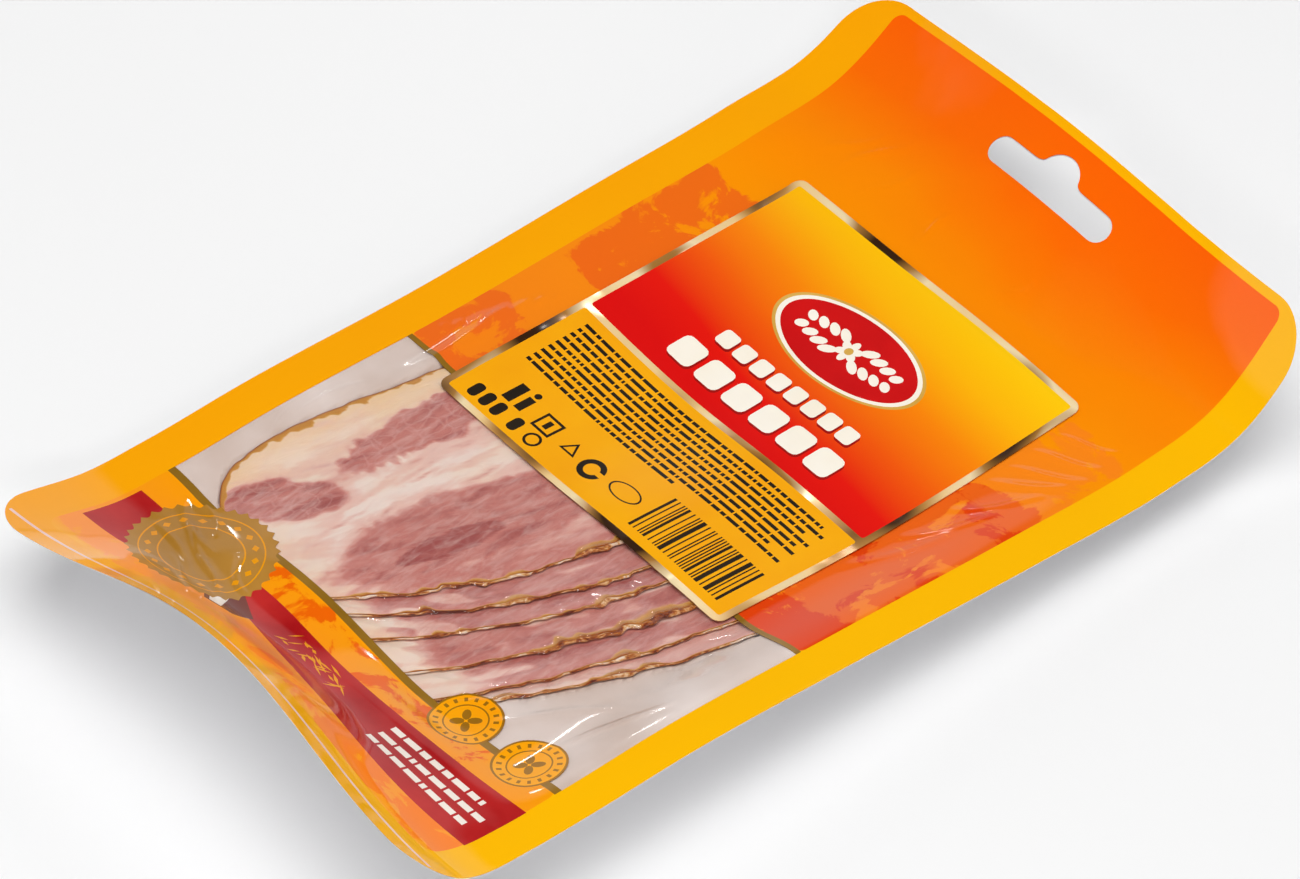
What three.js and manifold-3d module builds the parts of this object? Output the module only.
// A flat sealed pack of sliced bacon with a printed film, a paper label and a hang slot.
// Millimetres, +Z up. +Y points to the end with the hang slot, and the pack lies on its back.
import * as THREE from 'three';
import { mergeVertices } from 'three/addons/utils/BufferGeometryUtils.js';
import Module from 'manifold-3d';

// Driving dimensions of the flat pack, before it curls
const packWidth = 125;
const packLength = 213;
const cornerRadius = 10.4;
const filmThickness = 0.7;

// Where the sealed border ends and the pocket begins, on each side
const leftSeal = 8.8;
const rightSeal = 7.8;
const pocketFoot = 28;
const pocketHead = 184;

// How far the film takes from the border down to the slices, on each side of the pocket
const leftSlope = 13;
const rightSlope = 16;
const footSlope = 10;
const headSlope = 14;
const backSlope = 16;

// Height over the floor of the film on the slices: a row for each station along the pack,
// a value for each column across it
const faceStations = [37, 91, 123, 175];
const faceColumns = [22, 50, 80, 101];
const faceHeights = [
  [10.3, 13.5, 10.4, 12.9],
  [10, 9.6, 10.6, 10.1],
  [8.8, 6.4, 7.7, 7.4],
  [6.8, 8.2, 9.6, 8.4],
];

// Stations along the pack, from the foot to the hang slot's end, that give the curled border:
// its height over the floor at the left edge and at the right edge, and how far the middle crowns
const stations = [0, 12, 24.5, 39, 61, 102, 143, 174, 194, packLength];
const leftHeights = [20.5, 16, 12, 11, 11, 9, 9, 9, 10.5, 20];
const rightHeights = [27, 19, 17, 16.5, 16.5, 13.5, 10, 8, 9, 21.5];
const crowns = [10, 6.5, 0, 0, 0, 0, 0, -0.5, 7, 5.5];

// The corner beside the hang slot on the right turns up further
const cornerRise = 5.5;
const cornerReach = 25;

// The slices lie shingled. Each edge bends towards the left at the foot of the pack.
const sliceEdges = [74.8, 82.8, 87.4, 94.6, 101.6, 106.4];
const edgeBends = [23.6, 27.2, 24.9, 22.8, 21.6, 24.4];
const bendPower = 1.75;
const bendStart = 100;
const bendLength = 64;
const sliceFoot = 34;
const stepHeight = 1;
const stepWidth = 1.1;
const lastRecovery = 8;
const stepsEnd = 91;
const stepsFade = 8;

// Label
const labelLeft = 21.7;
const labelRight = 100.2;
const labelFoot = 88.6;
const labelHead = 174.8;
const labelThickness = 0.4;
const labelGap = 0.3;
const labelCorner = 2;

// Hang slot
const slotCentre = 62.5;
const slotFoot = 199;
const slotWidth = 32;
const slotWingHeight = 5.6;
const slotBumpHeight = 9.4;
const slotBumpRadius = 4.7;
const slotFillet = 2.4;
const slotFilletPull = 0.3;

// Facets
const borderColumns = [1.5, 5];
const slopeColumns = [12, 15.5, 19];
const topSliceShares = [0.2, 0.4, 0.6, 0.8];
const rightSlopeShares = [0.35, 0.7, 1];
const overhang = 2;
const labelOverhang = 1;
const packRows = 62;
const labelColumns = 14;
const labelRows = 16;
const arcSteps = 6;
const shorteningSteps = 20;
const cutDepth = 60;
const slopeProbe = 0.5;

const wasm = await Module();
wasm.setup();

function smooth(t) {
  const s = Math.min(Math.max(t, 0), 1);
  return s * s * (3 - 2 * s);
}

function mix(a, b, t) {
  return a + (b - a) * t;
}

// Slope of a measured curve at each of its stations
function slopesOf(xs, ys) {
  const last = xs.length - 1;
  const secants = xs.slice(1).map((x, i) => (ys[i + 1] - ys[i]) / (x - xs[i]));
  const slopes = xs.map((x, i) => {
    if (i === 0 || i === last) return 0;
    const before = x - xs[i - 1];
    const after = xs[i + 1] - x;
    return (after * secants[i - 1] + before * secants[i]) / (before + after);
  });
  slopes[0] = 1.5 * secants[0] - 0.5 * slopes[1];
  slopes[last] = 1.5 * secants[last - 1] - 0.5 * slopes[last - 1];
  return slopes;
}

// A smooth curve through the stations, by cubic spans
function smoothCurve(xs, ys) {
  const slopes = slopesOf(xs, ys);
  return (x) => {
    let i = 0;
    while (i < xs.length - 2 && x > xs[i + 1]) i += 1;
    const span = xs[i + 1] - xs[i];
    const t = Math.min(Math.max((x - xs[i]) / span, 0), 1);
    const start = (1 + 2 * t) * (1 - t) ** 2 * ys[i] + t * (1 - t) ** 2 * span * slopes[i];
    const end = t * t * (3 - 2 * t) * ys[i + 1] + t * t * (t - 1) * span * slopes[i + 1];
    return start + end;
  };
}

const leftEdge = smoothCurve(stations, leftHeights);
const rightEdge = smoothCurve(stations, rightHeights);
const crown = smoothCurve(stations, crowns);
const faceLines = faceColumns.map((column, c) => smoothCurve(faceStations, faceHeights.map((row) => row[c])));

// Height of the curled film's middle plane at a place on the flat pack
function sheetHeight(u, v) {
  const s = u / packWidth;
  const cornerDistance = Math.hypot(u - packWidth, v - packLength) / cornerReach;
  const corner = cornerRise * Math.exp(-(cornerDistance ** 2));
  return mix(leftEdge(v), rightEdge(v), s) + crown(v) * Math.sin(Math.PI * s) ** 2 + corner;
}

// Film doesn't stretch, so what curls up gets shorter in plan, measured from the pack's middle
function shortened(slopeAt, from, to) {
  const step = (to - from) / shorteningSteps;
  let reach = 0;
  for (let i = 0; i < shorteningSteps; i += 1) {
    reach += step / Math.hypot(1, slopeAt(from + (i + 0.5) * step));
  }
  return reach;
}

function placed(u, v, z) {
  const probe = slopeProbe;
  const acrossSlope = (a) => (sheetHeight(a + probe, v) - sheetHeight(a - probe, v)) / (2 * probe);
  const alongSlope = (b) => (sheetHeight(u, b + probe) - sheetHeight(u, b - probe)) / (2 * probe);
  const x = shortened(acrossSlope, packWidth / 2, u);
  const y = shortened(alongSlope, packLength / 2, v);
  return [x, y, z];
}

// Where the edge of one slice lies across the pack
function sliceEdge(index, v) {
  const toBend = Math.max(bendStart - Math.max(v, sliceFoot), 0) / bendLength;
  return sliceEdges[index] - edgeBends[index] * toBend ** bendPower;
}

// The film drops at each slice's edge and rises again to the next
function sliceRelief(u, v) {
  const edges = sliceEdges.map((edge, i) => sliceEdge(i, v));
  const relief = edges.reduce((sum, edge, i) => {
    const reach = i + 1 < edges.length ? edges[i + 1] - edge : lastRecovery;
    const rise = Math.min(Math.max((u - edge) / reach, 0), 1);
    return sum + stepHeight * (rise - smooth((u - edge) / stepWidth));
  }, 0);
  return relief * (1 - smooth((v - stepsEnd + stepsFade) / stepsFade));
}

function faceMask(u, v) {
  const left = smooth((u - leftSeal) / leftSlope);
  const right = smooth((packWidth - rightSeal - u) / rightSlope);
  const foot = smooth((v - pocketFoot) / footSlope);
  const head = smooth((pocketHead - v) / headSlope);
  return left * right * foot * head;
}

function backMask(u, v) {
  const left = smooth((u - leftSeal) / backSlope);
  const right = smooth((packWidth - rightSeal - u) / backSlope);
  const foot = smooth((v - pocketFoot) / backSlope);
  const head = smooth((pocketHead - v) / backSlope);
  return left * right * foot * head;
}

function faceSurface(u, v) {
  const flat = sheetHeight(u, v) + filmThickness / 2;
  const onSlices = smoothCurve(faceColumns, faceLines.map((line) => line(v)))(u);
  return mix(flat, onSlices + sliceRelief(u, v), faceMask(u, v));
}

function backSurface(u, v) {
  return (sheetHeight(u, v) - filmThickness / 2) * (1 - backMask(u, v));
}

// Columns of facets: even over the border and the top slice, then one pair at each slice's edge
function packColumns(v) {
  const topSlice = sliceEdge(0, v);
  const lastEdge = sliceEdge(sliceEdges.length - 1, v) + stepWidth;
  const inner = packWidth - rightSeal;
  const sliceStart = leftSeal + leftSlope;
  const columns = [-overhang, ...borderColumns, leftSeal, ...slopeColumns, sliceStart];
  for (const share of topSliceShares) columns.push(mix(sliceStart, topSlice, share));
  sliceEdges.forEach((edge, i) => columns.push(sliceEdge(i, v), sliceEdge(i, v) + stepWidth));
  for (const share of rightSlopeShares) columns.push(mix(lastEdge, inner, share));
  columns.push(packWidth - rightSeal / 2, packWidth + overhang);
  return columns;
}

function evenSteps(from, to, count) {
  return Array.from({ length: count + 1 }, (unused, i) => mix(from, to, i / count));
}

// A closed slab over a grid of columns and rows, with its own height above and below
function slab(columnsAt, rows, top, bottom) {
  const vertices = [];
  const indices = [];
  const columnCount = columnsAt(rows[0]).length;
  for (const height of [top, bottom]) {
    for (const v of rows) {
      for (const u of columnsAt(v)) vertices.push(u, v, height(u, v));
    }
  }
  const layer = columnCount * rows.length;
  const at = (side, row, column) => side * layer + row * columnCount + column;
  const quad = (a, b, c, d) => indices.push(a, b, c, a, c, d);
  for (let r = 0; r < rows.length - 1; r += 1) {
    for (let c = 0; c < columnCount - 1; c += 1) {
      quad(at(0, r, c), at(0, r, c + 1), at(0, r + 1, c + 1), at(0, r + 1, c));
      quad(at(1, r, c), at(1, r + 1, c), at(1, r + 1, c + 1), at(1, r, c + 1));
    }
    const end = columnCount - 1;
    quad(at(0, r, 0), at(0, r + 1, 0), at(1, r + 1, 0), at(1, r, 0));
    quad(at(0, r, end), at(1, r, end), at(1, r + 1, end), at(0, r + 1, end));
  }
  const last = rows.length - 1;
  for (let c = 0; c < columnCount - 1; c += 1) {
    quad(at(0, 0, c), at(1, 0, c), at(1, 0, c + 1), at(0, 0, c + 1));
    quad(at(0, last, c), at(0, last, c + 1), at(1, last, c + 1), at(1, last, c));
  }
  const geometry = new THREE.BufferGeometry();
  geometry.setAttribute('position', new THREE.Float32BufferAttribute(vertices, 3));
  geometry.setIndex(indices);
  return geometry;
}

function toSolid(geometry) {
  geometry.deleteAttribute('normal');
  geometry.deleteAttribute('uv');
  const merged = mergeVertices(geometry, 1e-5);
  return new wasm.Manifold(new wasm.Mesh({
    numProp: 3,
    vertProperties: new Float32Array(merged.attributes.position.array),
    triVerts: new Uint32Array(merged.index.array),
  }));
}

function cutter(shape) {
  const options = { depth: cutDepth, bevelEnabled: false, curveSegments: arcSteps };
  const prism = new THREE.ExtrudeGeometry(shape, options);
  prism.translate(0, 0, -cutDepth / 3);
  return toSolid(prism);
}

function roundedRectangle(left, foot, right, head, radius) {
  const shape = new THREE.Shape();
  shape.absarc(right - radius, foot + radius, radius, -Math.PI / 2, 0);
  shape.absarc(right - radius, head - radius, radius, 0, Math.PI / 2);
  shape.absarc(left + radius, head - radius, radius, Math.PI / 2, Math.PI);
  shape.absarc(left + radius, foot + radius, radius, Math.PI, 1.5 * Math.PI);
  return shape;
}

// The usual hang slot: two round-ended wings and a round bump towards the pack's end
function hangSlot() {
  const wingRadius = slotWingHeight / 2;
  const wingCentre = slotWidth / 2 - wingRadius;
  const wingTop = slotFoot + slotWingHeight;
  const bumpCentre = slotFoot + slotBumpHeight - slotBumpRadius;
  const bumpSide = Math.asin((wingTop - bumpCentre + slotFillet / 2) / slotBumpRadius);
  const sideReach = slotBumpRadius * Math.cos(bumpSide);
  const shape = new THREE.Shape();
  shape.absarc(slotCentre + wingCentre, slotFoot + wingRadius, wingRadius, -Math.PI / 2, Math.PI / 2);
  shape.lineTo(slotCentre + sideReach + slotFillet, wingTop);
  const pull = sideReach + slotFilletPull;
  const bumpFoot = wingTop + slotFillet / 2;
  shape.quadraticCurveTo(slotCentre + pull, wingTop, slotCentre + sideReach, bumpFoot);
  shape.absarc(slotCentre, bumpCentre, slotBumpRadius, bumpSide, Math.PI - bumpSide);
  shape.quadraticCurveTo(slotCentre - pull, wingTop, slotCentre - sideReach - slotFillet, wingTop);
  shape.absarc(slotCentre - wingCentre, slotFoot + wingRadius, wingRadius, Math.PI / 2, 1.5 * Math.PI);
  return shape;
}

// The finished piece: its flat outline cut, then curled into place
function curledMesh(name, solid, material) {
  const cut = solid.getMesh();
  const positions = new Float32Array(cut.numVert * 3);
  for (let i = 0; i < cut.numVert; i += 1) {
    const at = i * cut.numProp;
    const [u, v, z] = cut.vertProperties.slice(at, at + 3);
    positions.set(placed(u, v, z), i * 3);
  }
  const geometry = new THREE.BufferGeometry();
  geometry.setAttribute('position', new THREE.BufferAttribute(positions, 3));
  geometry.setIndex(new THREE.BufferAttribute(new Uint32Array(cut.triVerts), 1));
  geometry.computeVertexNormals();
  const mesh = new THREE.Mesh(geometry, material);
  mesh.name = name;
  return mesh;
}

function makePack() {
  const rows = evenSteps(-overhang, packLength + overhang, packRows);
  const outline = roundedRectangle(0, 0, packWidth, packLength, cornerRadius);
  const solid = toSolid(slab(packColumns, rows, faceSurface, backSurface))
    .intersect(cutter(outline))
    .subtract(cutter(hangSlot()));
  const film = new THREE.MeshStandardMaterial({ color: 0xf59a1c, roughness: 0.25, metalness: 0 });
  return curledMesh('pack', solid, film);
}

function makeLabel() {
  const columns = evenSteps(labelLeft - labelOverhang, labelRight + labelOverhang, labelColumns);
  const rows = evenSteps(labelFoot - labelOverhang, labelHead + labelOverhang, labelRows);
  const lower = (u, v) => faceSurface(u, v) + labelGap;
  const upper = (u, v) => lower(u, v) + labelThickness;
  const outline = roundedRectangle(labelLeft, labelFoot, labelRight, labelHead, labelCorner);
  const solid = toSolid(slab(() => columns, rows, upper, lower)).intersect(cutter(outline));
  const paper = new THREE.MeshStandardMaterial({ color: 0xe8741a, roughness: 0.45, metalness: 0 });
  return curledMesh('label', solid, paper);
}

// The origin is under the middle of the pack's outline, on the floor
const group = new THREE.Group();
group.add(makePack(), makeLabel());
const bounds = new THREE.Box3().setFromObject(group);
const middle = bounds.getCenter(new THREE.Vector3());
group.position.set(-middle.x, -middle.y, -bounds.min.z);

export default group;
